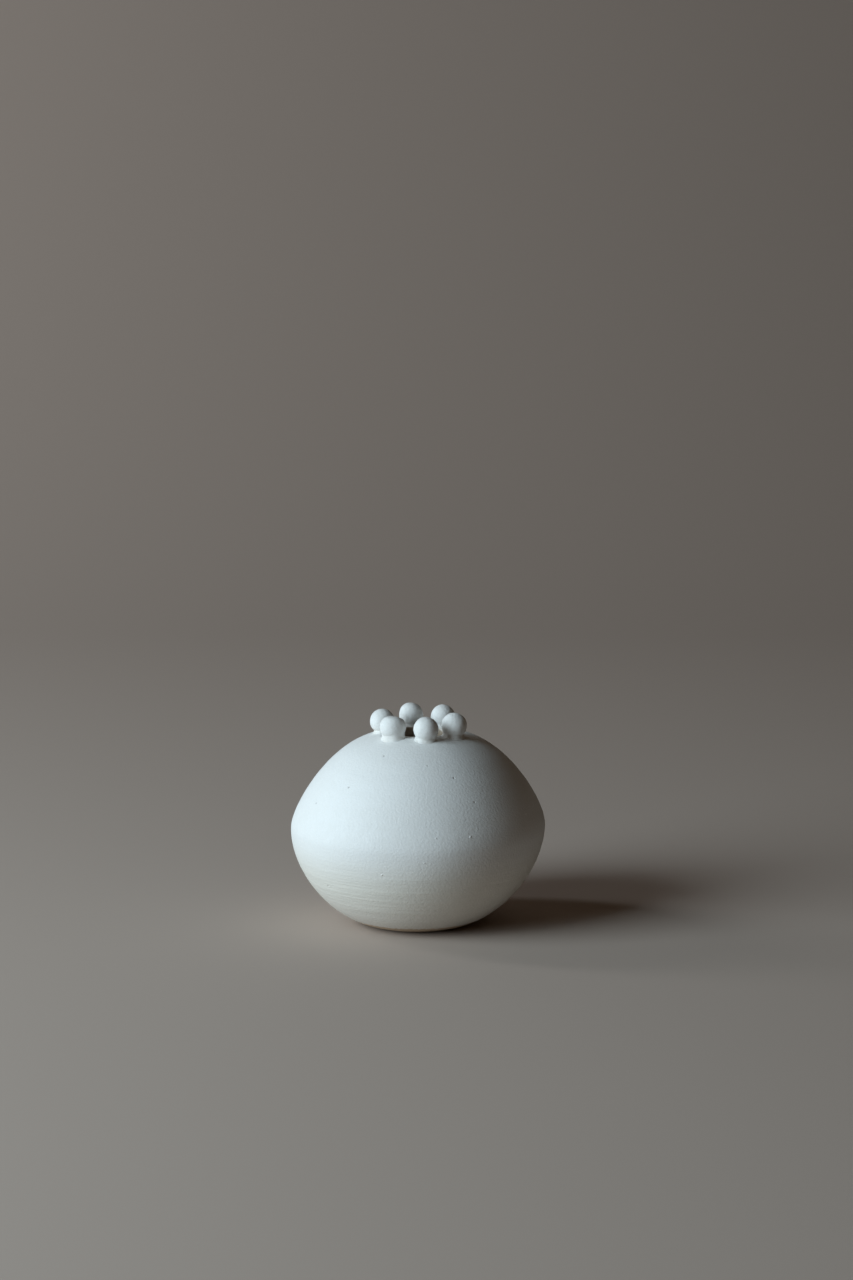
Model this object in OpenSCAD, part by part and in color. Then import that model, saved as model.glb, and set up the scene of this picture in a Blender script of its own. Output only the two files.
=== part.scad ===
// Round bud vase with a ring of clay beads set round its mouth to hold flower stems.
// The hollow body is thrown in one piece. Six hand-rolled beads stand on its shoulder,
// and a small collar of slip sticks each bead down.
// Millimetres, +Z up. The origin is the centre of the face that the vase stands on.

/* [Body] */
// Widest diameter of the body
body_d = 110; // [92:1:132]
// Height of the body, from the base to the top of the lip
body_h = 83.3; // [69:0.1:100]
// Height of the widest point above the base
belly_h = 42; // [34:0.5:51]
// Diameter of the flat face that the body stands on
foot_d = 43; // [35:1:52]
// Thickness of the thrown wall
wall = 4.5; // [3.7:0.1:5.5]
// Thickness of the floor in the middle
floor_t = 6; // [5:0.1:7.5]

/* [Outline] */
// Angle at which the wall leaves the table, in degrees
foot_angle = 8.5; // [0:0.5:15]
// How long the outline keeps its direction as it leaves the foot, as a share of its way out
foot_pull = 0.45; // [0.3:0.01:0.6]
// How long it stays upright below the widest point, as a share of that point's height
belly_pull = 0.46; // [0.3:0.01:0.6]
// How long it stays upright above the widest point, as a share of the height left
waist_pull = 0.2; // [0.1:0.01:0.4]
// How long the shoulder runs level before it reaches the lip, as a share of its way in
shoulder_pull = 0.6; // [0.4:0.01:0.8]

/* [Mouth] */
// Diameter of the hole that the stems go through
mouth_d = 21; // [17:0.5:26]
// Radius of the lip's rounded upper edge
lip_r = 2; // [1:0.1:2.3]
// Radius of the softened edge under the lip
under_lip_r = 1.2; // [0.4:0.1:1.3]

/* [Beads] */
// Diameter of an average bead
bead_d = 10.8; // [9:0.1:13]
// How far the beads stand back from the wall of the mouth
bead_setback = 0.7; // [0:0.1:3]
// How deep a bead is pressed into the soft shoulder
bead_sink = 1; // [0.6:0.1:1.6]

/* [Slip] */
// How far the slip climbs up the underside of a bead
slip_rise = 0.8; // [0.5:0.05:1.2]
// How far the hollow curve of the slip runs on below the level of its seat
slip_lap = 0.25; // [0.1:0.05:0.5]

/* [Hidden] */
$fn = 96;

// The beads, clockwise from the left as seen from above, with -Y at the front
PLACES = ["left", "back", "back_right", "right", "front", "front_left"];
// Where each bead was set round the mouth, in degrees from +X towards +Y
PLACE_ANGLES = [169, 104, 53, -28, -81, -134];
// How much each hand-rolled bead is thicker than the average one
BEAD_EXTRA = [-0.2, 0.1, -0.2, 0.2, -0.1, 0.1];

CLAY = "#DDDFDB";
SLIP = "#E4E0D6";

belly_r = body_d / 2;
foot_r = foot_d / 2;
mouth_r = mouth_d / 2;
lip_start_r = mouth_r + lip_r;
ring_r = mouth_r + bead_setback + bead_d / 2;  // of the ring that the balls' centres stand on

CURVE_STEPS = 24;
ARC_STEPS = 8;
SLOPE_REACH = 1;   // half the stretch of shoulder over which a seat's slope is measured
SLIP_DEPTH = 2.5;  // how far a collar reaches down, so that the shoulder trims its underside
SLIP_BITE = 0.1;   // how far inside the ball a collar's curve starts, so that the ball trims it

// Point at t, from 0 to 1, on the cubic curve from a to d with the handles b and c
function bezier(a, b, c, d, t) =
    pow(1 - t, 3) * a + 3 * pow(1 - t, 2) * t * b + 3 * (1 - t) * pow(t, 2) * c + pow(t, 3) * d;

function curve(a, b, c, d) =
    [for (i = [0 : CURVE_STEPS]) bezier(a, b, c, d, i / CURVE_STEPS)];

function arc(centre, r, from, to) = [
    for (i = [0 : ARC_STEPS])
        let (a = from + (to - from) * i / ARC_STEPS)
        centre + r * [cos(a), sin(a)]
];

// From the foot up to the widest point
function lower_curve(start, widest) =
    let (
        way_out = foot_pull * (widest.x - start.x),
        way_up = belly_pull * (widest.y - start.y)
    )
    curve(
        start,
        start + way_out * [cos(foot_angle), sin(foot_angle)],
        widest - [0, way_up],
        widest
    );

// From the widest point up and in to the mouth, arriving level
function upper_curve(widest, end) =
    curve(
        widest,
        widest + [0, waist_pull * (end.y - widest.y)],
        end + [shoulder_pull * (widest.x - end.x), 0],
        end
    );

function without_first(points) = [for (i = [1 : len(points) - 1]) points[i]];
function reversed(points) = [for (i = [len(points) - 1 : -1 : 0]) points[i]];

shoulder = upper_curve([belly_r, belly_h], [lip_start_r, body_h]);
outside = concat(
    lower_curve([foot_r, 0], [belly_r, belly_h]),
    without_first(shoulder)
);
inside = concat(
    lower_curve([foot_r, floor_t], [belly_r - wall, belly_h]),
    without_first(upper_curve([belly_r - wall, belly_h], [mouth_r + under_lip_r, body_h - wall]))
);
lip = concat(
    without_first(arc([lip_start_r, body_h - lip_r], lip_r, 90, 180)),
    arc([mouth_r + under_lip_r, body_h - wall + under_lip_r], under_lip_r, 180, 270)
);

// Height of the shoulder at a distance r from the axis
function shoulder_z(r) = lookup(r, [for (p = shoulder) [p.x, p.y]]);

// A bead stands square to the shoulder, so its seat is a little nearer the axis than its centre
seat_tilt = atan(
    (shoulder_z(ring_r - SLOPE_REACH) - shoulder_z(ring_r + SLOPE_REACH)) / (2 * SLOPE_REACH)
);
seat_r = ring_r - (bead_d / 2 - bead_sink) * sin(seat_tilt);
seat_z = shoulder_z(seat_r);

function bead_r(i) = (bead_d + BEAD_EXTRA[i]) / 2;

// The hollow body, spun from one outline
module thrown_body() {
    rotate_extrude()
        polygon(concat([[0, 0]], outside, lip, reversed(inside), [[0, floor_t]]));
}

// Puts a child that stands on the shoulder at the seat of bead i, square to the surface there
module on_seat(i) {
    rotate([0, 0, PLACE_ANGLES[i]])
        translate([seat_r, 0, seat_z])
            rotate([0, seat_tilt, 0])
                children();
}

module bead_ball(i) {
    translate([0, 0, bead_r(i) - bead_sink])
        sphere(r = bead_r(i));
}

// A ring with a hollow curve for its side, as a finger leaves it
module slip_collar(i) {
    reach_r = sqrt(pow(bead_r(i), 2) - pow(bead_r(i) - bead_sink - slip_rise, 2));
    neck_r = reach_r - SLIP_BITE;
    hollow_r = slip_rise + slip_lap;
    side = arc([neck_r + hollow_r, slip_rise], hollow_r, 180, 270);
    rotate_extrude()
        polygon(concat(
            [[0, -SLIP_DEPTH], [0, slip_rise]],
            side,
            [[neck_r + hollow_r, -SLIP_DEPTH]]
        ));
}

module vessel_body() {
    color(CLAY) thrown_body();
}

// A ball with its underside moulded to the shoulder
module bead(i) {
    color(CLAY)
        difference() {
            on_seat(i) bead_ball(i);
            thrown_body();
        }
}

// The slip that fills the corner between a bead and the shoulder
module slip_join(i) {
    color(SLIP)
        difference() {
            on_seat(i)
                difference() {
                    slip_collar(i);
                    bead_ball(i);
                }
            thrown_body();
        }
}

vessel_body();
for (i = [0 : len(PLACES) - 1]) {
    bead(i);
    slip_join(i);
}
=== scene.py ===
"""Looks of a small round bud vase whose mouth is ringed with clay beads.

The thrown body, the hand-rolled beads and the slip under them are modelled in metres round the
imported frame, and each one stands for the CAD node of its own name. One potter's hand moves them
all, so that they still meet where the hand has pulled the wall a little out of true.
"""

from __future__ import annotations

import logging
import math
from dataclasses import dataclass
from enum import Enum
from functools import cached_property

import bmesh
import bpy
import numpy as np
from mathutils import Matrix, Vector, kdtree, noise


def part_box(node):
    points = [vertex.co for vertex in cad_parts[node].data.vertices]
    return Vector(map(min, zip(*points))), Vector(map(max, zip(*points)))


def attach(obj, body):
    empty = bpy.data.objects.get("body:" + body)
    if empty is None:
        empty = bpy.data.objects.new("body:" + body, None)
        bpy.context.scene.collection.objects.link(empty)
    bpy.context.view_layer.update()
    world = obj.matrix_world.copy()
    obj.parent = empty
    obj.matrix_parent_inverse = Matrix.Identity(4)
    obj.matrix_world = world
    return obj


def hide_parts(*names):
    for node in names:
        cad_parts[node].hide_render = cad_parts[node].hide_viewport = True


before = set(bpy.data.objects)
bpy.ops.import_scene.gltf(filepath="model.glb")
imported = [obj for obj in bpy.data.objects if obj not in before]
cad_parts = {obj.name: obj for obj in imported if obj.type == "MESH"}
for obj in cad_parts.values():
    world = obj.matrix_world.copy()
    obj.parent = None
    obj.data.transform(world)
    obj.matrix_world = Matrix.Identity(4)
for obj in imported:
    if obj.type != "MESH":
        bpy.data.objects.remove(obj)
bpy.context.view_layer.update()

MM = 0.001
TURN = 2 * math.pi

log = logging.getLogger("bud_vase")

Colour = tuple[float, float, float]
Socket = bpy.types.NodeSocket

# Sockets of the mix node in its colour form, where several share a name.
MIX_FACTOR, MIX_FIRST, MIX_SECOND = 0, 6, 7
MIX_RESULT = 2


class Place(Enum):
    """Where a bead stands round the mouth, with -Y at the front."""

    LEFT = "left"
    BACK = "back"
    BACK_RIGHT = "back_right"
    RIGHT = "right"
    FRONT = "front"
    FRONT_LEFT = "front_left"


class Mark(Enum):
    """What a small flaw in the surface does to it."""

    PIT = -1.0
    BUMP = 1.0


def smooth_step(low: float, high: float, value: float) -> float:
    """Rise smoothly from 0 to 1 as a value goes from low to high.

    Args:
        low: The value at which the rise starts, above or below high.
        high: The value at which it ends.
        value: The value to place between them.

    Returns:
        A number from 0 to 1.
    """
    t = min(max((value - low) / (high - low), 0.0), 1.0)
    return t * t * (3 - 2 * t)


def direction(turn: float, rise: float = 0.0) -> Vector:
    """Return the unit vector turned from +X towards +Y and raised above the table, both in radians."""
    return Vector((math.cos(rise) * math.cos(turn), math.cos(rise) * math.sin(turn), math.sin(rise)))


def cubic(a: Vector, b: Vector, c: Vector, d: Vector, t: float) -> Vector:
    """Return the point at t, from 0 to 1, of the cubic curve from a to d with handles b and c."""
    s = 1 - t
    return s**3 * a + 3 * s * s * t * b + 3 * s * t * t * c + t**3 * d


def arc(centre: Vector, radius: float, start: float, end: float, steps: int) -> list[Vector]:
    """Return points along an arc.

    Args:
        centre: The centre of the arc.
        radius: Its radius.
        start: The angle of the first point, in degrees.
        end: The angle of the last point, in degrees.
        steps: How many stretches the arc is cut into.

    Returns:
        One point more than there are steps.
    """
    angles = (math.radians(start + (end - start) * i / steps) for i in range(steps + 1))
    return [centre + radius * Vector((math.cos(a), math.sin(a))) for a in angles]


@dataclass(frozen=True)
class Outline:
    """The thrown wall in section: distances from the axis, and heights above the table.

    The belly's radius and the top come from the frame. The other sizes are the potter's.
    """

    belly_r: float
    top: float
    belly_share: float = 0.504
    foot_r: float = 21.5 * MM
    foot_angle: float = math.radians(8.5)
    foot_pull: float = 0.45
    belly_pull: float = 0.46
    waist_pull: float = 0.2
    shoulder_pull: float = 0.6
    wall: float = 4.5 * MM
    floor: float = 6 * MM
    mouth_r: float = 10.5 * MM
    lip_r: float = 2 * MM
    under_lip_r: float = 1.2 * MM
    hollow: float = 0.3 * MM
    hollow_edge: float = 0.86
    hollow_flat: float = 0.7

    @property
    def belly_z(self) -> float:
        """Height of the widest point."""
        return self.belly_share * self.top

    def lower(self, start: Vector, widest: Vector, steps: int) -> list[Vector]:
        """Draw the curve from the foot up to the widest point.

        Args:
            start: The edge of the foot.
            widest: The widest point.
            steps: How many stretches the curve is cut into.

        Returns:
            One point more than there are steps.
        """
        out = self.foot_pull * (widest.x - start.x)
        up = self.belly_pull * (widest.y - start.y)
        leave = Vector((math.cos(self.foot_angle), math.sin(self.foot_angle)))
        b, c = start + out * leave, widest - Vector((0, up))
        return [cubic(start, b, c, widest, i / steps) for i in range(steps + 1)]

    def upper(self, widest: Vector, end: Vector, steps: int) -> list[Vector]:
        """Draw the curve from the widest point up and in to the mouth.

        Args:
            widest: The widest point.
            end: Where the lip starts.
            steps: How many stretches the curve is cut into.

        Returns:
            One point more than there are steps.
        """
        up = Vector((0, self.waist_pull * (end.y - widest.y)))
        level = Vector((self.shoulder_pull * (widest.x - end.x), 0))
        return [cubic(widest, widest + up, end + level, end, i / steps) for i in range(steps + 1)]

    def outside(self, steps: int) -> list[Vector]:
        """Draw the outer wall.

        Args:
            steps: How many stretches each of its two curves is cut into.

        Returns:
            Its points, from the edge of the foot to the start of the lip.
        """
        widest = Vector((self.belly_r, self.belly_z))
        end = Vector((self.mouth_r + self.lip_r, self.top))
        return self.lower(Vector((self.foot_r, 0)), widest, steps) + self.upper(widest, end, steps)[1:]

    def inside(self, steps: int) -> list[Vector]:
        """Draw the inner wall.

        Args:
            steps: How many stretches each of its two curves is cut into.

        Returns:
            Its points, from under the lip down to the floor.
        """
        widest = Vector((self.belly_r - self.wall, self.belly_z))
        end = Vector((self.mouth_r + self.under_lip_r, self.top - self.wall))
        up = self.lower(Vector((self.foot_r, self.floor)), widest, steps)
        return list(reversed(up + self.upper(widest, end, steps)[1:]))

    def lip(self, steps: int) -> list[Vector]:
        """Draw the rounded lip, over its top and under it.

        Args:
            steps: How many stretches each of its two arcs is cut into.

        Returns:
            Its points, without those that the walls have already.
        """
        over = Vector((self.mouth_r + self.lip_r, self.top - self.lip_r))
        under = Vector((self.mouth_r + self.under_lip_r, self.top - self.wall + self.under_lip_r))
        turned_in = arc(over, self.lip_r, 90, 180, steps)[1:]
        return turned_in + arc(under, self.under_lip_r, 180, 270, steps)[:-1]

    def base(self, steps: int) -> list[Vector]:
        """Draw the underside, slightly hollow so that it doesn't rock.

        Args:
            steps: How many rings of points it has outside the axis.

        Returns:
            Its points, from the axis out towards the edge of the foot.
        """
        reach = self.hollow_edge * self.foot_r
        points = []
        for i in range(steps + 1):
            r = self.foot_r * i / (steps + 1)
            points.append(Vector((r, self.hollow * smooth_step(reach, self.hollow_flat * reach, r))))
        return points

    @cached_property
    def shoulder(self) -> tuple[list[float], list[float]]:
        """Section of the lip and shoulder, from the mouth outwards.

        Returns:
            The distances from the axis, and the heights there.
        """
        lip_steps, slope_steps = 24, 240
        lip_start = Vector((self.mouth_r + self.lip_r, self.top))
        lip = arc(lip_start - Vector((0, self.lip_r)), self.lip_r, 180, 90, lip_steps)
        slope = self.upper(Vector((self.belly_r, self.belly_z)), lip_start, slope_steps)
        points = lip + slope[-2::-1]
        return [p.x for p in points], [p.y for p in points]

    def shoulder_z(self, r: float) -> float:
        """Return the height of the shoulder, or of the lip, at a distance r from the axis."""
        return float(np.interp(r, *self.shoulder))


@dataclass(frozen=True)
class PottersHand:
    """How the soft clay strayed from a true spun shape, the same for every piece.

    The wall leans a little, its belly is higher on one side, and it is slightly oval.
    """

    outline: Outline
    lean: float = 0.018
    sway: float = 0.6 * MM
    oval: float = 0.0025
    oval_turn: float = math.radians(35)
    lump: float = 0.16 * MM
    lump_scale: float = 2.1
    rim_wave: float = 0.18 * MM
    rim_scale: float = 1.3
    rim_start: float = 0.8
    rim_seed: float = 7.0

    def move(self, point: Vector) -> Vector:
        """Return where the hand left a point of the true shape.

        Args:
            point: A point in or on the true shape.

        Returns:
            The same point of the soft clay.
        """
        r = math.hypot(point.x, point.y)
        theta = math.atan2(point.y, point.x)
        level = min(max(point.z / self.outline.top, 0.0), 1.0)
        middle = math.sin(math.pi * level)
        share = r / self.outline.belly_r
        way = Vector((math.cos(theta), math.sin(theta), 2 * level))
        swell = self.lump * noise.noise(way * self.lump_scale) * middle
        swell += self.oval * r * math.cos(2 * (theta - self.oval_turn)) * middle
        rim = way * self.rim_scale + Vector((self.rim_seed, 0, 0))
        wave = self.rim_wave * noise.noise(rim) * smooth_step(self.rim_start, 1.0, level)
        out = Vector((math.cos(theta), math.sin(theta), 0))
        moved = point + out * swell * share
        moved.x += self.lean * point.z
        moved.z += self.sway * math.cos(theta) * middle * share + wave
        return moved


class Graph:
    """A node tree that is being wired, with short names for what the finishes use."""

    def __init__(self, tree: bpy.types.NodeTree) -> None:
        """Take hold of a tree.

        Args:
            tree: The node tree of a material, a world or a group.
        """
        self.tree = tree

    def feed(self, socket: Socket, value: object) -> None:
        """Link a socket to another one, or set its value.

        Args:
            socket: The input to feed.
            value: Another node's output, or a plain value.
        """
        if isinstance(value, Socket):
            self.tree.links.new(value, socket)
        else:
            socket.default_value = value

    def add(self, kind: str, settings: dict | None = None, **inputs: object) -> bpy.types.Node:
        """Add a node.

        Args:
            kind: The node's type.
            settings: Values for the node's own properties.
            **inputs: What goes into its sockets, with _ for a space in a socket's name.

        Returns:
            The new node.
        """
        node = self.tree.nodes.new(kind)
        for name, value in (settings or {}).items():
            setattr(node, name, value)
        for name, value in inputs.items():
            self.feed(node.inputs[name.replace("_", " ")], value)
        return node

    def sum(self, operation: str, *values: object) -> Socket:
        """Add one step of arithmetic.

        Args:
            operation: The node's name for it.
            *values: What goes in, in order.

        Returns:
            The result.
        """
        node = self.tree.nodes.new("ShaderNodeMath")
        node.operation = operation
        for socket, value in zip(node.inputs, values):
            self.feed(socket, value)
        return node.outputs[0]

    def scaled(self, vector: object, by: float | tuple[float, float, float]) -> Socket:
        """Multiply the three parts of a vector.

        Args:
            vector: The vector.
            by: One number for all three, or a number for each.

        Returns:
            The longer or shorter vector.
        """
        node = self.tree.nodes.new("ShaderNodeVectorMath")
        if isinstance(by, tuple):
            node.operation = "MULTIPLY"
            self.feed(node.inputs[1], by)
        else:
            node.operation = "SCALE"
            self.feed(node.inputs["Scale"], by)
        self.feed(node.inputs[0], vector)
        return node.outputs[0]

    def span(self, value: object, low: object, high: object, out: tuple[float, float] = (0, 1)) -> Socket:
        """Ease a value from one range to another, and hold it at the ends.

        Args:
            value: The value.
            low: Where the range starts, above or below high.
            high: Where it ends.
            out: The results at low and at high.

        Returns:
            The result.
        """
        node = self.add(
            "ShaderNodeMapRange",
            {"interpolation_type": "SMOOTHSTEP"},
            Value=value,
            From_Min=low,
            From_Max=high,
            To_Min=out[0],
            To_Max=out[1],
        )
        return node.outputs["Result"]

    def blend(self, factor: object, first: object, second: object) -> Socket:
        """Mix two colours.

        Args:
            factor: The share of the second colour.
            first: A colour.
            second: The colour over it.

        Returns:
            The colour between them.
        """
        node = self.tree.nodes.new("ShaderNodeMix")
        node.data_type = "RGBA"
        self.feed(node.inputs[MIX_FACTOR], factor)
        self.feed(node.inputs[MIX_FIRST], opaque(first))
        self.feed(node.inputs[MIX_SECOND], opaque(second))
        return node.outputs[MIX_RESULT]

    def group(self, tree: bpy.types.NodeTree, **inputs: object) -> bpy.types.Node:
        """Place a node group with its own values, and return its node."""
        return self.add("ShaderNodeGroup", {"node_tree": tree}, **inputs)


def opaque(colour: object) -> object:
    """Return a colour of three numbers with a fourth for its alpha, and anything else as it is."""
    return (*colour, 1.0) if isinstance(colour, tuple) and len(colour) == 3 else colour


def new_group(
    name: str, numbers: tuple[str, ...], results: tuple[str, ...]
) -> tuple[Graph, Socket, bpy.types.NodeOutputs, bpy.types.NodeInputs]:
    """Start a shader node group that makes a pattern on a piece.

    Args:
        name: The group's name.
        numbers: The names of its inputs after the position.
        results: The names of its outputs.

    Returns:
        The graph, the position in millimetres, and what goes in and comes out, by name.
    """
    tree = bpy.data.node_groups.new(name, "ShaderNodeTree")
    tree.interface.new_socket(name="Position", in_out="INPUT", socket_type="NodeSocketVector")
    for label in numbers:
        tree.interface.new_socket(name=label, in_out="INPUT", socket_type="NodeSocketFloat")
    for label in results:
        tree.interface.new_socket(name=label, in_out="OUTPUT", socket_type="NodeSocketFloat")
    graph = Graph(tree)
    entry = tree.nodes.new("NodeGroupInput")
    end = tree.nodes.new("NodeGroupOutput")
    return graph, graph.scaled(entry.outputs["Position"], 1 / MM), entry.outputs, end.inputs


class ClayEffects:
    """The node groups that every clay finish is mixed from. Their sizes are in millimetres."""

    def __init__(self) -> None:
        """Build each group once."""
        self.cloud = self._cloud()
        self.pebble = self._pebble()
        self.specks = self._specks()
        self.turning = self._turning()

    @staticmethod
    def _cloud() -> bpy.types.NodeTree:
        """Make soft patches, as where a coat went on thicker.

        Returns:
            The group's tree.
        """
        graph, place, given, out = new_group("uneven_coat", ("Size", "Detail"), ("Value",))
        rate = graph.sum("DIVIDE", 1.0, given["Size"])
        detail = given["Detail"]
        texture = graph.add("ShaderNodeTexNoise", Vector=place, Scale=rate, Detail=detail, Roughness=0.55)
        graph.feed(out["Value"], graph.span(texture.outputs[0], 0.3, 0.7))
        return graph.tree

    @staticmethod
    def _pebble() -> bpy.types.NodeTree:
        """Make the fine orange-peel of a brushed coat over groggy clay, as a height in millimetres.

        Returns:
            The group's tree.
        """
        graph, place, given, out = new_group("groggy_skin", ("Size", "Depth"), ("Height",))
        rate = graph.sum("DIVIDE", 1.0, given["Size"])
        coarse = graph.add("ShaderNodeTexNoise", Vector=place, Scale=rate, Detail=2.0, Roughness=0.5)
        fine_rate = graph.sum("MULTIPLY", rate, 3.7)
        fine = graph.add("ShaderNodeTexNoise", Vector=place, Scale=fine_rate, Detail=2.0, Roughness=0.6)
        both = graph.sum("MULTIPLY_ADD", fine.outputs[0], 0.3, coarse.outputs[0])
        graph.feed(out["Height"], graph.sum("MULTIPLY", both, given["Depth"]))
        return graph.tree

    @staticmethod
    def _specks() -> bpy.types.NodeTree:
        """Make sparse round dots, as iron specks and pinholes.

        Returns:
            The group's tree.
        """
        graph, place, given, out = new_group("iron_specks", ("Spacing", "Share", "Radius"), ("Mask",))
        rate = graph.sum("DIVIDE", 1.0, given["Spacing"])
        cells = graph.add("ShaderNodeTexVoronoi", Vector=place, Scale=rate, Randomness=1.0)
        parts = graph.add("ShaderNodeSeparateColor", Color=cells.outputs["Color"])
        chosen = graph.sum("LESS_THAN", parts.outputs[0], given["Share"])
        size = graph.sum("MULTIPLY_ADD", parts.outputs[1], 0.7, 0.3)
        reach = graph.sum("MULTIPLY", graph.sum("MULTIPLY", size, given["Radius"]), rate)
        dot = graph.span(cells.outputs["Distance"], reach, graph.sum("MULTIPLY", reach, 0.4))
        graph.feed(out["Mask"], graph.sum("MULTIPLY", dot, chosen))
        return graph.tree

    @staticmethod
    def _turning() -> bpy.types.NodeTree:
        """Make the broken level lines that a trimming tool leaves between two heights.

        Returns:
            The group's tree.
        """
        numbers = ("Pitch", "Fade Start", "Fade End")
        graph, place, given, out = new_group("trimming_lines", numbers, ("Lines", "Zone"))
        rate = graph.sum("DIVIDE", 1.0, given["Pitch"])
        stretched = graph.scaled(place, (0.035, 0.035, 1.0))
        lines = graph.add("ShaderNodeTexNoise", Vector=stretched, Scale=rate, Detail=3.0, Roughness=0.6)
        height = graph.add("ShaderNodeSeparateXYZ", Vector=place).outputs["Z"]
        zone = graph.span(height, given["Fade End"], given["Fade Start"])
        graph.feed(out["Lines"], graph.span(lines.outputs[0], 0.35, 0.65))
        graph.feed(out["Zone"], zone)
        return graph.tree


@dataclass
class Mix:
    """A clay finish while it is being wired: where on the piece it is, and its values so far."""

    graph: Graph
    effects: ClayEffects
    position: Socket
    height: Socket
    patches: Socket
    colour: Socket | Colour
    rough: Socket
    relief: Socket

    def lay(self, mask: Socket, colour: Colour, share: float = 1.0) -> None:
        """Lay a colour over the mix where a mask is, at a share of the mask's strength."""
        self.colour = self.graph.blend(self.graph.sum("MULTIPLY", mask, share), self.colour, colour)


@dataclass(frozen=True)
class ClayFinish:
    """A matte off-white coat over pale stoneware, with the marks of the hand in it, and with painted shade
    and painted bounce light in some of its tints.

    Its lengths are in millimetres, except for the lip ring, which is a radius and a height in metres.
    """

    name: str
    coat: Colour = (0.815, 0.815, 0.80)
    thick_coat: Colour = (0.84, 0.845, 0.835)
    # Warmer, darker tone: thin coat in patches and lines, painted shade where beads and joins sit on the
    # shoulder, and laid towards the foot.
    thin_coat_and_shade: Colour = (0.735, 0.705, 0.655)
    # Painted bounce light: a warm cream tint below the belly that stands for warm light thrown up from the
    # floor.
    bounce_warmed_coat: Colour = (0.825, 0.795, 0.715)
    bare_clay: Colour = (0.56, 0.42, 0.28)
    # Dark clay inside the mouth: partly bare clay, partly painted shade.
    inner_clay_and_shade: Colour = (0.30, 0.235, 0.175)
    iron: Colour = (0.16, 0.12, 0.09)
    roughness: float = 0.62
    shine: float = 0.4
    broad_patch: float = 17.0
    small_patch: float = 3.2
    skin_size: float = 1.0
    skin_depth: float = 0.13
    grain_size: float = 0.55
    grain: float = 0.2
    speck_spacing: float = 4.2
    speck_share: float = 0.05
    speck_radius: float = 0.32
    line_pitch: float = 1.15
    line_depth: float = 0.0
    trimmed_below: float = 43.0
    trimmed_fade: float = 21.0
    foot_line: float = 0.0
    foot_tint_top: float = 19.0
    foot_tint_bottom: float = 2.5
    warm_below: float = 0.0
    warm_fade: float = 2.2
    lip_ring: tuple[float, float] | None = None

    def material(self, effects: ClayEffects) -> bpy.types.Material:
        """Mix the finish.

        Args:
            effects: The shared node groups.

        Returns:
            A new material.
        """
        material = bpy.data.materials.new(self.name)
        material.use_nodes = True
        mix = self._brush_coat(Graph(material.node_tree), effects)
        if self.line_depth:
            self._trim_and_paint_bounce(mix)
        if self.lip_ring:
            self._wear_lip(mix)
        if self.warm_below:
            self._thin_and_shaded_seat(mix)
        if self.foot_line:
            self._wipe_foot(mix)
        if self.lip_ring:
            self._bare_and_shaded_inside(mix)
        self._speckle(mix)

        graph = mix.graph
        bump = graph.add("ShaderNodeBump", Strength=1.0, Distance=MM, Height=mix.relief)
        clay = graph.add(
            "ShaderNodeBsdfPrincipled", Base_Color=mix.colour, Roughness=mix.rough, Normal=bump.outputs[0]
        )
        clay.inputs["Specular IOR Level"].default_value = self.shine
        graph.add("ShaderNodeOutputMaterial", Surface=clay.outputs[0])
        return material

    def _brush_coat(self, graph: Graph, effects: ClayEffects) -> Mix:
        """Start with the brushed coat, thicker and thinner in patches.

        Args:
            graph: The material's tree.
            effects: The shared node groups.

        Returns:
            The finish so far.
        """
        graph.tree.nodes.clear()
        at = graph.add("ShaderNodeTexCoord").outputs["Object"]
        height = graph.sum("DIVIDE", graph.add("ShaderNodeSeparateXYZ", Vector=at).outputs["Z"], MM)
        broad = graph.group(effects.cloud, Position=at, Size=self.broad_patch, Detail=2.0).outputs["Value"]
        small = graph.group(effects.cloud, Position=at, Size=self.small_patch, Detail=3.0).outputs["Value"]
        grit = graph.group(effects.cloud, Position=at, Size=self.grain_size, Detail=1.0).outputs["Value"]
        skin = graph.group(effects.pebble, Position=at, Size=self.skin_size, Depth=self.skin_depth)
        rough = graph.sum("MULTIPLY_ADD", small, 0.08, self.roughness)
        mix = Mix(graph, effects, at, height, small, self.coat, rough, skin.outputs["Height"])
        mix.lay(broad, self.thick_coat, 0.55)
        mix.lay(small, self.thin_coat_and_shade, 0.10)
        mix.lay(grit, self.thin_coat_and_shade, self.grain)
        return mix

    def _trim_and_paint_bounce(self, mix: Mix) -> None:
        """Turn lines into the trimmed part below the belly, and lay a warm cream tint there that is painted
        bounce light from the floor.

        Args:
            mix: The finish so far.
        """
        turned = mix.graph.group(
            mix.effects.turning,
            Position=mix.position,
            Pitch=self.line_pitch,
            Fade_Start=self.trimmed_below - self.trimmed_fade,
            Fade_End=self.trimmed_below,
        )
        zone = turned.outputs["Zone"]
        lines = mix.graph.sum("MULTIPLY", turned.outputs["Lines"], zone)
        # Painted bounce light: the zone below the belly is tinted warm cream for the floor's warm bounce.
        mix.lay(zone, self.bounce_warmed_coat, 0.9)
        mix.lay(lines, self.thin_coat_and_shade, 0.16)
        mix.relief = mix.graph.sum("MULTIPLY_ADD", lines, -self.line_depth, mix.relief)

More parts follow.
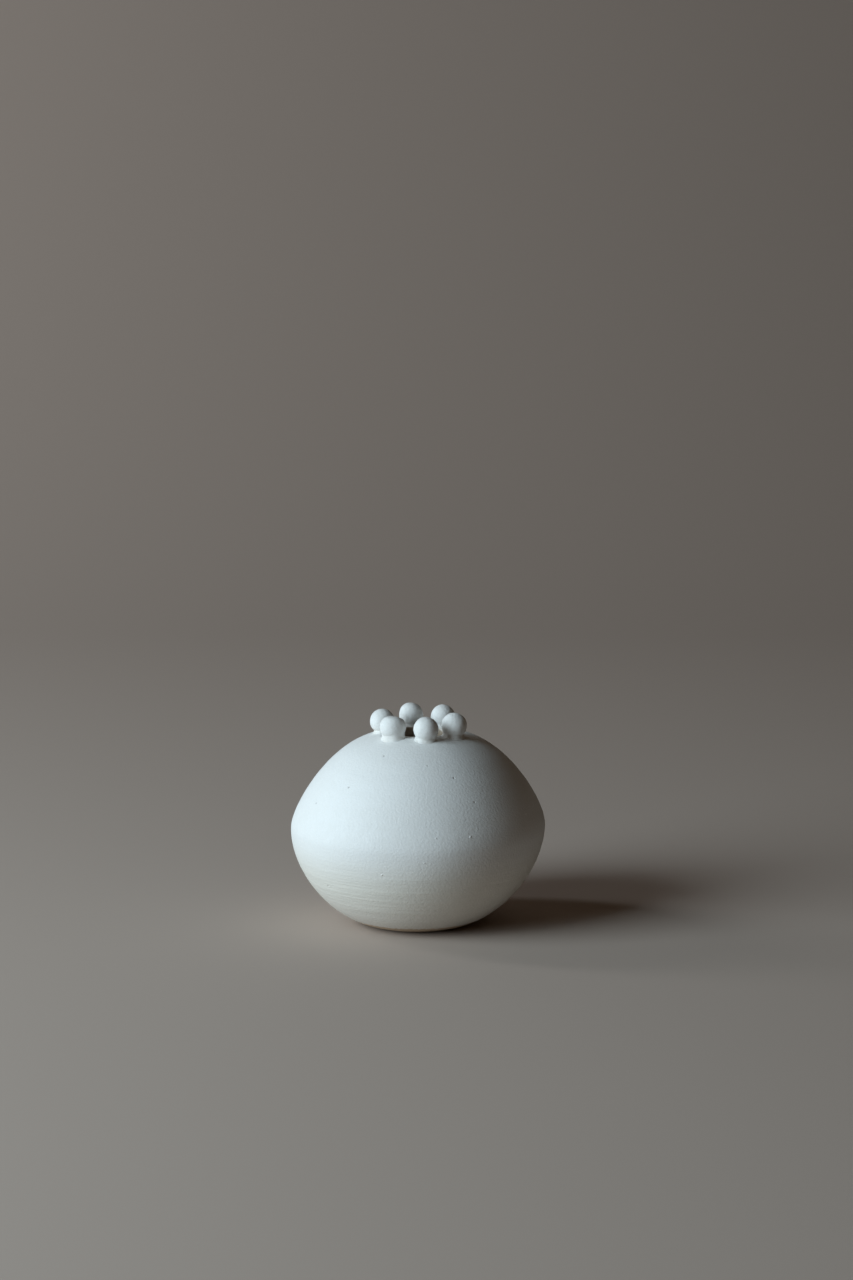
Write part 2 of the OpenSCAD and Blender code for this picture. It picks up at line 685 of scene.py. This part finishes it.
    def _wear_lip(self, mix: Mix) -> None:
        """Wear the coat thin in patches over the top of the lip.

        Args:
            mix: The finish so far.
        """
        graph = mix.graph
        radius, top = self.lip_ring
        parts = graph.add("ShaderNodeSeparateXYZ", Vector=mix.position)
        flat = graph.add("ShaderNodeCombineXYZ", X=parts.outputs["X"], Y=parts.outputs["Y"])
        length = graph.add("ShaderNodeVectorMath", {"operation": "LENGTH"})
        graph.feed(length.inputs[0], flat.outputs[0])
        across = graph.sum("SUBTRACT", length.outputs["Value"], radius)
        down = graph.sum("SUBTRACT", parts.outputs["Z"], top)
        square = graph.sum("ADD", graph.sum("MULTIPLY", across, across), graph.sum("MULTIPLY", down, down))
        near = graph.span(graph.sum("SQRT", square), 2.2 * MM, 0.5 * MM)
        worn = graph.add("ShaderNodeTexNoise", Vector=mix.position, Scale=1.1 / MM, Detail=3.0, Roughness=0.6)
        patchy = graph.span(worn.outputs[0], 0.4, 0.65, (0.25, 0.9))
        mix.lay(graph.sum("MULTIPLY", near, patchy), self.bare_clay)

    def _thin_and_shaded_seat(self, mix: Mix) -> None:
        """Darken and warm the coat unevenly low down, where a bead or a join meets the shoulder: partly a
        thin coat, partly painted shade where it sits on the shoulder.

        Args:
            mix: The finish so far.
        """
        # Painted shade, partly thin coat: the low part of each bead and join is darkened towards the
        # shoulder.
        low = mix.graph.span(mix.height, self.warm_below + self.warm_fade, self.warm_below)
        uneven = mix.graph.sum("MULTIPLY_ADD", mix.patches, 0.5, 0.3)
        mix.lay(mix.graph.sum("MULTIPLY", low, uneven), self.thin_coat_and_shade)

    def _wipe_foot(self, mix: Mix) -> None:
        """Make the coat darker and warmer towards the foot, and wipe it off the edge along a ragged line.

        Args:
            mix: The finish so far.
        """
        graph = mix.graph
        # Darker and warmer towards the foot.
        mix.lay(graph.span(mix.height, self.foot_tint_top, self.foot_tint_bottom), self.thin_coat_and_shade, 0.7)
        ragged = graph.sum("MULTIPLY_ADD", mix.patches, 0.9, self.foot_line)
        bare = graph.span(mix.height, graph.sum("ADD", ragged, 0.5), ragged)
        mix.lay(bare, self.bare_clay, 0.85)
        mix.rough = graph.sum("MULTIPLY_ADD", bare, 0.2, mix.rough)

    def _bare_and_shaded_inside(self, mix: Mix) -> None:
        """Darken the pinholes, and lay dark clay where the coat never reached and inside the mouth, where it
        is partly bare clay and partly painted shade.

        Args:
            mix: The finish so far.
        """
        pinholes = mix.graph.add("ShaderNodeAttribute", {"attribute_name": "stain"})
        mix.lay(pinholes.outputs["Fac"], self.iron, 0.6)
        # Painted shade, partly bare clay: the bare attribute lays dark clay inside the mouth as well as under
        # the foot.
        inner = mix.graph.add("ShaderNodeAttribute", {"attribute_name": "bare"}).outputs["Fac"]
        mix.lay(inner, self.inner_clay_and_shade)
        mix.rough = mix.graph.sum("MULTIPLY_ADD", inner, 0.15, mix.rough)

    def _speckle(self, mix: Mix) -> None:
        """Scatter iron specks that sit a little deep in the coat.

        Args:
            mix: The finish so far.
        """
        dots = mix.graph.group(
            mix.effects.specks,
            Position=mix.position,
            Spacing=self.speck_spacing,
            Share=self.speck_share,
            Radius=self.speck_radius,
        ).outputs["Mask"]
        mix.lay(dots, self.iron, 0.8)
        mix.relief = mix.graph.sum("MULTIPLY_ADD", dots, -0.03, mix.relief)


def finish_piece(
    bm: bmesh.types.BMesh, name: str, node: str, material: bpy.types.Material
) -> bpy.types.Object:
    """Turn a mesh under construction into a piece of the vase that stands for a CAD node.

    Args:
        bm: The mesh, in the row frame. It is freed.
        name: The piece's name.
        node: The CAD node that it stands for.
        material: Its finish.

    Returns:
        The new object, riding on the vase's one body.
    """
    mesh = bpy.data.meshes.new(name)
    bm.to_mesh(mesh)
    bm.free()
    mesh.shade_smooth()
    mesh.materials.append(material)
    piece = bpy.data.objects.new(name, mesh)
    bpy.context.scene.collection.objects.link(piece)
    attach(piece, "root")
    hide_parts(node)
    log.info("%s: %d faces, stands for %s", name, len(mesh.polygons), node)
    return piece


def spin_full(bm: bmesh.types.BMesh, points: list[Vector], steps: int, closed: bool = False) -> None:
    """Spin a section once round +Z.

    Args:
        bm: The mesh to fill.
        points: The section, as distances from the axis and heights.
        steps: How many stretches the circle is cut into.
        closed: Whether the section's last point joins its first.
    """
    verts = [bm.verts.new((p.x, 0, p.y)) for p in points]
    pairs = list(zip(verts, verts[1:]))
    if closed:
        pairs.append((verts[-1], verts[0]))
    edges = [bm.edges.new(pair) for pair in pairs]
    bmesh.ops.spin(
        bm,
        geom=verts + edges,
        cent=(0, 0, 0),
        axis=(0, 0, 1),
        dvec=(0, 0, 0),
        angle=TURN,
        steps=steps,
        use_merge=True,
        use_normal_flip=False,
        use_duplicate=False,
    )
    bmesh.ops.remove_doubles(bm, verts=bm.verts, dist=0.001 * MM)
    bmesh.ops.recalc_face_normals(bm, faces=bm.faces)


@dataclass(frozen=True)
class Flaw:
    """A pinhole or a grain of grog on the outer wall, in degrees and millimetres."""

    azimuth: float
    height: float
    kind: Mark
    radius: float = 0.55
    depth: float = 0.28


FLAWS = (
    Flaw(-133, 66.0, Mark.PIT, 0.65, 0.3),
    Flaw(-120, 78.2, Mark.PIT, 0.65, 0.3),
    Flaw(-152, 57.3, Mark.PIT),
    Flaw(-139, 23.5, Mark.PIT),
    Flaw(-68, 70.5, Mark.PIT, 0.65),
    Flaw(-84, 75.5, Mark.PIT, 0.4),
    Flaw(-60, 61.1, Mark.PIT, 0.5),
    Flaw(-82, 48.4, Mark.BUMP, 0.5, 0.2),
    Flaw(-66, 47.9, Mark.BUMP),
    Flaw(-87, 38.2, Mark.BUMP, 0.5, 0.2),
    Flaw(-106, 32.8, Mark.BUMP),
    Flaw(24, 62.0, Mark.PIT),
    Flaw(58, 47.0, Mark.BUMP),
    Flaw(83, 70.0, Mark.PIT, 0.55, 0.2),
    Flaw(112, 39.0, Mark.PIT),
    Flaw(140, 58.0, Mark.BUMP, 0.55),
    Flaw(171, 27.0, Mark.PIT),
    Flaw(-10, 33.0, Mark.PIT),
    Flaw(-28, 52.0, Mark.BUMP),
)


@dataclass(frozen=True)
class ThrownBody:
    """The hollow body, thrown on the wheel and trimmed below the belly."""

    outline: Outline
    hand: PottersHand
    node: str = "vessel_body"
    around: int = 288
    outer_steps: int = 92
    rubs: int = 56
    inner_steps: int = 20
    base_steps: int = 12
    lip_steps: int = 10
    floor_steps: int = 5
    trim_top: float = 0.56
    trim_bottom: float = 0.42
    trim_pitch: float = 3.6 * MM
    trim_depth: float = 0.05 * MM
    line_pitch: float = 1.15 * MM
    line_depth: float = 0.018 * MM
    line_break: float = 5 * MM
    thrown_pitch: float = 6.5 * MM
    thrown_depth: float = 0.02 * MM
    finger_pitch: float = 7 * MM
    finger_depth: float = 0.3 * MM
    still_foot: float = 0.3 * MM
    # The side where the painted shade in the mouth reaches widest over the lip.
    shaded_side: float = math.radians(125)
    flaw_reach: float = 1.5 * MM
    flaw_cuts: int = 5

    def section(self) -> list[Vector]:
        """Draw the whole section.

        Returns:
            Its points, from the axis under the foot round to the axis on the floor.
        """
        outline = self.outline
        rings = reversed(range(self.floor_steps))
        return (
            outline.base(self.base_steps)
            + self.softened(outline.outside(self.outer_steps))
            + outline.lip(self.lip_steps)
            + outline.inside(self.inner_steps)
            + [Vector((outline.foot_r * i / self.floor_steps, outline.floor)) for i in rings]
        )

    def softened(self, points: list[Vector]) -> list[Vector]:
        """Rub the bend above the belly softer, and keep the wall as wide as before.

        Args:
            points: The outer wall.

        Returns:
            As many points of the softer wall.
        """
        softer = list(points)
        for _ in range(self.rubs):
            middle = [(a + 2 * b + c) / 4 for a, b, c in zip(softer, softer[1:], softer[2:])]
            softer = softer[:1] + middle + softer[-1:]
        lost = max(p.x for p in points) - max(p.x for p in softer)
        start = self.outline.foot_r
        spread = self.outline.belly_r - start
        return [p + Vector((lost * (p.x - start) / spread, 0)) if p.x > start else p for p in softer]

    def marks(self, point: Vector, normal: Vector) -> float:
        """Work out how far tools and fingers pushed the wall out.

        Args:
            point: A point of the wall.
            normal: The way it faces.

        Returns:
            The distance along the normal.
        """
        theta = math.atan2(point.y, point.x)
        way = Vector((math.cos(theta), math.sin(theta), 0))
        top = self.outline.top
        if self.faces_in(point, normal):
            below_lip = smooth_step(top - 6 * MM, top - 14 * MM, point.z)
            off_axis = smooth_step(4 * MM, 12 * MM, math.hypot(point.x, point.y))
            wave = math.sin(TURN * point.z / self.finger_pitch + theta)
            return self.finger_depth * wave * below_lip * off_axis
        trimmed = smooth_step(self.trim_top * top, self.trim_bottom * top, point.z)
        drift = noise.noise(way * 0.9 + Vector((0, 0, point.z / self.trim_pitch)))
        line = math.sin(TURN * (point.z / self.line_pitch) + theta + 3 * noise.noise(way * 1.5))
        line *= 0.5 + noise.noise(way * 1.2 + Vector((3, 0, point.z / self.line_break)))
        thrown = self.thrown_depth * math.sin(TURN * point.z / self.thrown_pitch + theta)
        return trimmed * (self.trim_depth * drift + self.line_depth * line) + (1 - trimmed) * thrown

    def bare_and_shaded(self, point: Vector, normal: Vector) -> float:
        """Tell where the clay is bare under the foot, and where the mouth is laid dark, which is partly bare
        clay and partly painted shade.

        Args:
            point: A point of the wall.
            normal: The way it faces.

        Returns:
            1 on bare clay and on the painted shade in the mouth, 0 on the coat, and between them where they
            fade out.
        """
        outline = self.outline
        reach = math.hypot(point.x, point.y)
        if point.z < 0.4 * MM and reach < 0.9 * outline.foot_r:
            return 1.0
        # Painted shade on the lip inside the mouth, widest on the shaded side under the beads.
        if point.z > outline.top - 4 * MM and reach < outline.mouth_r + 2 * MM:
            side = math.cos(math.atan2(point.y, point.x) - self.shaded_side)
            edge = outline.mouth_r + (0.8 + 0.8 * side) * MM
            return smooth_step(edge, edge - 0.6 * MM, reach)
        # Painted shade and bare clay on the inner wall, from just below the top.
        if self.faces_in(point, normal):
            return smooth_step(outline.top + 0.4 * MM, outline.top - 1.4 * MM, point.z)
        return 0.0

    def faces_in(self, point: Vector, normal: Vector) -> bool:
        """Return whether a point of the wall faces the hollow."""
        return normal.dot(point - Vector((0, 0, self.outline.belly_z))) < 0

    def press_flaws(self, bm: bmesh.types.BMesh) -> None:
        """Cut the mesh finer round each flaw and push it in or out.

        Args:
            bm: The body's mesh, before the hand has moved it.
        """
        centres = kdtree.KDTree(len(FLAWS))
        profile = self.outline.outside(self.outer_steps)
        for index, flaw in enumerate(FLAWS):
            nearest = min(profile, key=lambda p: abs(p.y - flaw.height * MM))
            angle = math.radians(flaw.azimuth)
            centres.insert((nearest.x * math.cos(angle), nearest.x * math.sin(angle), nearest.y), index)
        centres.balance()
        bm.edges.index_update()
        around = set()
        for face in bm.faces:
            _, _, distance = centres.find(face.calc_center_median())
            if distance < self.flaw_reach:
                around.update(face.edges)
        edges = sorted(around, key=lambda e: e.index)
        bmesh.ops.subdivide_edges(bm, edges=edges, cuts=self.flaw_cuts, use_grid_fill=True)
        bm.normal_update()
        stain = bm.verts.layers.float.new("stain")
        for vert in bm.verts:
            _, index, distance = centres.find(vert.co)
            flaw = FLAWS[index]
            if distance < flaw.radius * MM:
                deep = smooth_step(flaw.radius * MM, 0.0, distance)
                vert.co += vert.normal * flaw.kind.value * (flaw.depth * MM) * deep
                vert[stain] = deep if flaw.kind is Mark.PIT else 0.0

    def build(self, material: bpy.types.Material) -> bpy.types.Object:
        """Throw, trim and finish the body.

        Args:
            material: Its finish.

        Returns:
            The body, which stands for its CAD node.
        """
        bm = bmesh.new()
        spin_full(bm, self.section(), self.around)
        bm.normal_update()
        # The bare attribute: bare clay under the foot, and in the mouth partly bare clay, partly painted
        # shade.
        bare = bm.verts.layers.float.new("bare")
        for vert in bm.verts:
            vert[bare] = self.bare_and_shaded(vert.co, vert.normal)
        pushes = [(vert, vert.normal * self.marks(vert.co, vert.normal)) for vert in bm.verts]
        for vert, push in pushes:
            if vert.co.z > self.still_foot:
                vert.co += push
        self.press_flaws(bm)
        for vert in bm.verts:
            vert.co = self.hand.move(vert.co)
        return finish_piece(bm, "thrown_body", self.node, material)


@dataclass(frozen=True)
class Press:
    """How one bead was pressed down, and how its slip was smoothed.

    The seed sets its own lumps, and each flat is the way that a pressed facet faces.
    """

    seed: float
    climb: float
    width: float
    squash: tuple[float, float, float] = (1.0, 1.0, 1.0)
    drop: float = 0.0
    flats: tuple[tuple[float, float, float], ...] = ()


PRESSES = {
    Place.LEFT: Press(1.0, 1.3 * MM, 0.45 * MM),
    Place.BACK: Press(2.0, 1.4 * MM, 0.2 * MM, (0.99, 0.98, 1.02), flats=((-0.9, -0.35, 0.05),)),
    Place.BACK_RIGHT: Press(3.0, 1.6 * MM, 0.3 * MM, (1.0, 0.99, 1.0)),
    Place.RIGHT: Press(4.0, 2.2 * MM, 0.35 * MM, (1.0, 1.0, 0.99), flats=((0.7, 0.7, 0.1),)),
    Place.FRONT: Press(5.0, 2.0 * MM, 0.1 * MM),
    Place.FRONT_LEFT: Press(6.0, 2.9 * MM, 0.05 * MM, (1.035, 1.0, 0.96), 0.05 * MM, ((0.1, 0.1, 1.0),)),
}

# Broad, middling and fine lumps of a ball: the share of its unevenness, and how closely they lie.
LUMPS = ((1.0, 1.2), (0.25, 3.6), (0.07, 11))


@dataclass(frozen=True)
class HandRolledBead:
    """One ball of clay, rolled between the palms and pressed on to the shoulder."""

    place: Place
    hand: PottersHand
    press: Press
    radius: float
    centre: Vector
    lumps: float = 0.028
    flat_start: float = 0.72
    flat_depth: float = 0.35

    @classmethod
    def at(cls, place: Place, hand: PottersHand, press: Press) -> HandRolledBead:
        """Take a bead's radius and centre from the CAD ball at its place.

        Args:
            place: Where the bead stands.
            hand: The hand that placed it.
            press: How it was pressed down.

        Returns:
            The bead, ready to be built.
        """
        low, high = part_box(f"bead_{place.value}")
        radius = (high.x - low.x + high.y - low.y) / 4
        centre = Vector(((low.x + high.x) / 2, (low.y + high.y) / 2, high.z - radius - press.drop))
        return cls(place, hand, press, radius, centre)

    @property
    def node(self) -> str:
        """Name of the CAD node."""
        return f"bead_{self.place.value}"

    def shape(self, way: Vector) -> Vector:
        """Work out where the surface of the ball is.

        Args:
            way: A direction from its centre.

        Returns:
            The surface point in that direction, from the centre.
        """
        offset = Vector((self.press.seed, 2 * self.press.seed, 0))
        swell = sum(share * self.lumps * noise.noise(way * scale + offset) for share, scale in LUMPS)
        point = way * self.radius * (1 + swell)
        for flat in self.press.flats:
            facing = Vector(flat).normalized()
            over = way.dot(facing) - self.flat_start
            if over > 0:
                point -= facing * over * self.flat_depth * self.radius
        return Vector(a * b for a, b in zip(point, self.press.squash))

    def build(self, material: bpy.types.Material) -> bpy.types.Object:
        """Roll and press the bead.

        Args:
            material: Its finish.

        Returns:
            The bead, which stands for its CAD node.
        """
        bm = bmesh.new()
        bmesh.ops.create_icosphere(bm, subdivisions=6, radius=self.radius)
        centre = self.hand.move(self.centre)
        for vert in bm.verts:
            vert.co = centre + self.shape(vert.co.normalized())
        return finish_piece(bm, f"rolled_{self.node}", self.node, material)


@dataclass(frozen=True)
class SlipJoin:
    """The slip that a finger smoothed into the corner under a bead."""

    bead: HandRolledBead
    outline: Outline
    inset: float = 0.15 * MM
    buried: float = 0.5 * MM
    lap: float = 0.1 * MM
    ball_pull: float = 0.32
    flare_pull: float = 0.75
    mouth_gap: float = 0.3 * MM
    roughness: float = 0.03 * MM
    around: int = 144
    steps: int = 16
    rounds: int = 5

    @property
    def node(self) -> str:
        """Name of the CAD node."""
        return f"slip_join_{self.bead.place.value}"

    def section(self) -> list[Vector]:
        """Draw the section: 1 to 2 across is the hollow from bead to shoulder, and -1 is buried.

        Returns:
            Its points, the last of which joins the first.
        """
        hollow = [Vector((1 + i / self.steps, 0)) for i in range(self.steps + 1)]
        return [Vector((0.4, -1)), Vector((0.4, 0)), Vector((0.8, 0))] + hollow + [Vector((1.9, -1))]

    def contact(self, turn: float, climb: float) -> tuple[float, float]:
        """Find where the slip leaves the bead, closer with each round.

        Args:
            turn: The direction from the bead's axis, in radians.
            climb: How high the slip rises over the shoulder.

        Returns:
            The distance from the bead's upright axis, and how steeply the bead is undercut there.
        """
        bead = self.bead
        wide, tall = bead.radius * bead.press.squash[0], bead.radius * bead.press.squash[2]
        reach = 0.8 * wide
        for _ in range(self.rounds):
            x, y = bead.centre.x + reach * math.cos(turn), bead.centre.y + reach * math.sin(turn)
            below = bead.centre.z - self.outline.shoulder_z(math.hypot(x, y)) - climb
            reach = wide * math.sqrt(max(1 - (below / tall) ** 2, 0.2))
        return reach, min(max(below / tall, 0.0), 1.0)

    def lay(self, point: Vector) -> Vector:
        """Lay a point of the spun section against the bead and the shoulder.

        Args:
            point: A point of the section, spun round the origin.

        Returns:
            Where it lies, before the hand has moved it.
        """
        press = self.bead.press
        turn = math.atan2(point.y, point.x)
        way = Vector((math.cos(turn), math.sin(turn), press.seed))
        climb = press.climb * (1 + 0.3 * noise.noise(way * 1.3 + Vector((5, 0, 0))))
        width = press.width * (1 + 0.5 * noise.noise(way * 1.1) + 0.15 * noise.noise(way * 5))
        reach, undercut = self.contact(turn, climb)
        across = math.hypot(point.x, point.y) - 1
        pull = self.ball_pull * climb
        leave = Vector((reach - self.inset, climb + self.lap))
        down = leave + Vector((-undercut, -math.sqrt(1 - undercut**2))) * pull
        flare = Vector((reach + width, 0))
        inward = flare - Vector((self.flare_pull * (flare.x - down.x), 0))
        curve = cubic(leave, down, inward, flare, min(max(across, 0.0), 1.0))
        out = curve.x + min(across, 0.0) * MM
        plan = Vector((self.bead.centre.x, self.bead.centre.y, 0)) + direction(turn) * out
        nearest = self.outline.mouth_r + self.mouth_gap
        if plan.length < nearest:
            plan *= nearest / plan.length
        lift = curve.y if point.z >= 0 else -self.buried
        lift += self.roughness * noise.noise(way * 7 + Vector((0, 0, 3 * across)))
        return Vector((plan.x, plan.y, self.outline.shoulder_z(plan.length) + lift))

    def build(self, material: bpy.types.Material) -> bpy.types.Object:
        """Smooth the join round its bead.

        Args:
            material: Its finish.

        Returns:
            The join, which stands for its CAD node.
        """
        bm = bmesh.new()
        spin_full(bm, self.section(), self.around, closed=True)
        for vert in bm.verts:
            vert.co = self.bead.hand.move(self.lay(vert.co))
        bmesh.ops.recalc_face_normals(bm, faces=bm.faces)
        return finish_piece(bm, f"smoothed_{self.node}", self.node, material)


@dataclass(frozen=True)
class Lamp:
    """A square soft lamp, with the length of its side in metres and its power in watts."""

    name: str
    place: Vector
    aim: Vector
    size: float
    power: float
    colour: Colour

    def hang(self) -> None:
        """Hang the lamp in its place, facing its aim."""
        light = bpy.data.lights.new(self.name, "AREA")
        light.size = self.size
        light.energy = self.power
        light.color = self.colour
        lamp = bpy.data.objects.new(self.name, light)
        lamp.location = self.place
        lamp.rotation_euler = (self.place - self.aim).to_track_quat("Z", "Y").to_euler()
        lamp.visible_camera = False
        bpy.context.scene.collection.objects.link(lamp)


@dataclass(frozen=True)
class Studio:
    """A plain sweep, a large soft lamp at the left, another on the backdrop, a warm fill and the camera."""

    floor_colour: Colour = (0.47, 0.388, 0.335)
    floor_roughness: float = 0.9
    floor_shine: float = 0.1
    half_width: float = 6.0
    front: float = -6.0
    back: float = 0.8
    curve: float = 1.8
    curve_steps: int = 24
    height: float = 3.2
    look_height: float = 45 * MM
    elevation: float = math.radians(12.65)
    pitch: float = math.radians(9.095)
    distance: float = 1.2468
    side: float = 4.4 * MM
    lens: float = 80.72
    window_distance: float = 1.5
    window_turn: float = math.radians(210)
    window_rise: float = math.radians(23)
    fill_colour: Colour = (1.0, 0.66, 0.34)
    fill_strength: float = 0.03
    far_colour: Colour = (0.22, 0.21, 0.20)

    def sweep(self) -> bpy.types.Object:
        """Make the floor and the backdrop in one sheet, bent up behind the vase.

        Returns:
            The sheet.
        """
        bm = bmesh.new()
        bend = arc(Vector((self.back, self.curve)), self.curve, 270, 360, self.curve_steps)
        line = [Vector((self.front, 0))] + bend + [Vector((self.back + self.curve, self.height))]
        verts = [bm.verts.new((-self.half_width, p.x, p.y)) for p in line]
        edges = [bm.edges.new(pair) for pair in zip(verts, verts[1:])]
        grown = bmesh.ops.extrude_edge_only(bm, edges=edges)["geom"]
        moved = [item for item in grown if isinstance(item, bmesh.types.BMVert)]
        bmesh.ops.translate(bm, verts=moved, vec=(2 * self.half_width, 0, 0))
        bmesh.ops.recalc_face_normals(bm, faces=bm.faces)
        mesh = bpy.data.meshes.new("sweep")
        bm.to_mesh(mesh)
        bm.free()
        mesh.shade_smooth()
        material = bpy.data.materials.new("pale_floor")
        material.use_nodes = True
        paint = material.node_tree.nodes["Principled BSDF"]
        paint.inputs["Base Color"].default_value = opaque(self.floor_colour)
        paint.inputs["Roughness"].default_value = self.floor_roughness
        paint.inputs["Specular IOR Level"].default_value = self.floor_shine
        mesh.materials.append(material)
        floor = bpy.data.objects.new("sweep", mesh)
        bpy.context.scene.collection.objects.link(floor)
        return floor

    def lamps(self) -> tuple[Lamp, Lamp]:
        """Place the window lamp, and the lamp that washes the backdrop from the left.

        Returns:
            The two lamps, still to be hung.
        """
        middle = Vector((0, 0, self.look_height))
        window = middle + self.window_distance * direction(self.window_turn, self.window_rise)
        wash, far_left = Vector((-2.2, 0.8, 1.3)), Vector((-0.8, 2.4, 0.8))
        return (
            Lamp("window", window, middle, size=0.92, power=25.5, colour=(0.735, 0.90, 1.0)),
            Lamp("wash", wash, far_left, size=0.8, power=23, colour=(0.86, 0.94, 1.0)),
        )

    def surroundings(self) -> None:
        """Fill the dark side weakly and warmly, behind a plain pale background."""
        world = bpy.data.worlds.new("studio")
        bpy.context.scene.world = world
        world.use_nodes = True
        graph = Graph(world.node_tree)
        graph.tree.nodes.clear()
        fill = graph.add(
            "ShaderNodeBackground", Color=opaque(self.fill_colour), Strength=self.fill_strength
        )
        seen = graph.add("ShaderNodeBackground", Color=opaque(self.far_colour), Strength=1.0)
        straight = graph.add("ShaderNodeLightPath").outputs["Is Camera Ray"]
        both = graph.tree.nodes.new("ShaderNodeMixShader")
        graph.feed(both.inputs[0], straight)
        graph.feed(both.inputs[1], fill.outputs[0])
        graph.feed(both.inputs[2], seen.outputs[0])
        graph.add("ShaderNodeOutputWorld", Surface=both.outputs[0])

    def camera(self) -> None:
        """Stand the camera in front of the vase, a little above it, with the vase low in the frame."""
        data = bpy.data.cameras.new("camera")
        data.lens = self.lens
        data.sensor_width = 36
        camera = bpy.data.objects.new("camera", data)
        away = Vector((0, -math.cos(self.elevation), math.sin(self.elevation)))
        camera.location = Vector((self.side, 0, self.look_height)) + away * self.distance
        camera.rotation_euler = (math.pi / 2 - self.pitch, 0, 0)
        bpy.context.scene.collection.objects.link(camera)
        bpy.context.scene.camera = camera

    def set_up(self) -> None:
        """Put everything round the vase."""
        self.camera()
        self.sweep()
        for lamp in self.lamps():
            lamp.hang()
        self.surroundings()
        bpy.context.scene.view_settings.view_transform = "Standard"


def main() -> None:
    """Build the vase and the studio, and report each piece."""
    logging.basicConfig(level=logging.INFO, format="%(message)s")
    low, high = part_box("vessel_body")
    outline = Outline(belly_r=(high.x - low.x + high.y - low.y) / 4, top=high.z)
    hand = PottersHand(outline)
    effects = ClayEffects()
    lip_ring = (outline.mouth_r + outline.lip_r / 2, outline.top)
    seat = outline.top / MM
    body_clay = ClayFinish("body_clay", line_depth=0.05, foot_line=3.0, lip_ring=lip_ring).material(effects)
    # Beads and joins darken below the seat: partly thin coat, partly painted shade on the shoulder.
    bead_clay = ClayFinish(
        "bead_clay", skin_size=0.7, skin_depth=0.16, grain=0.35, speck_share=0.02, warm_below=seat
    ).material(effects)
    slip_clay = ClayFinish("slip_clay", skin_size=1.0, speck_share=0.0, warm_below=seat).material(effects)

    Studio().set_up()
    ThrownBody(outline, hand).build(body_clay)
    for place, press in PRESSES.items():
        bead = HandRolledBead.at(place, hand, press)
        bead.build(bead_clay)
        SlipJoin(bead, outline).build(slip_clay)


if __name__ == "__main__":
    main()
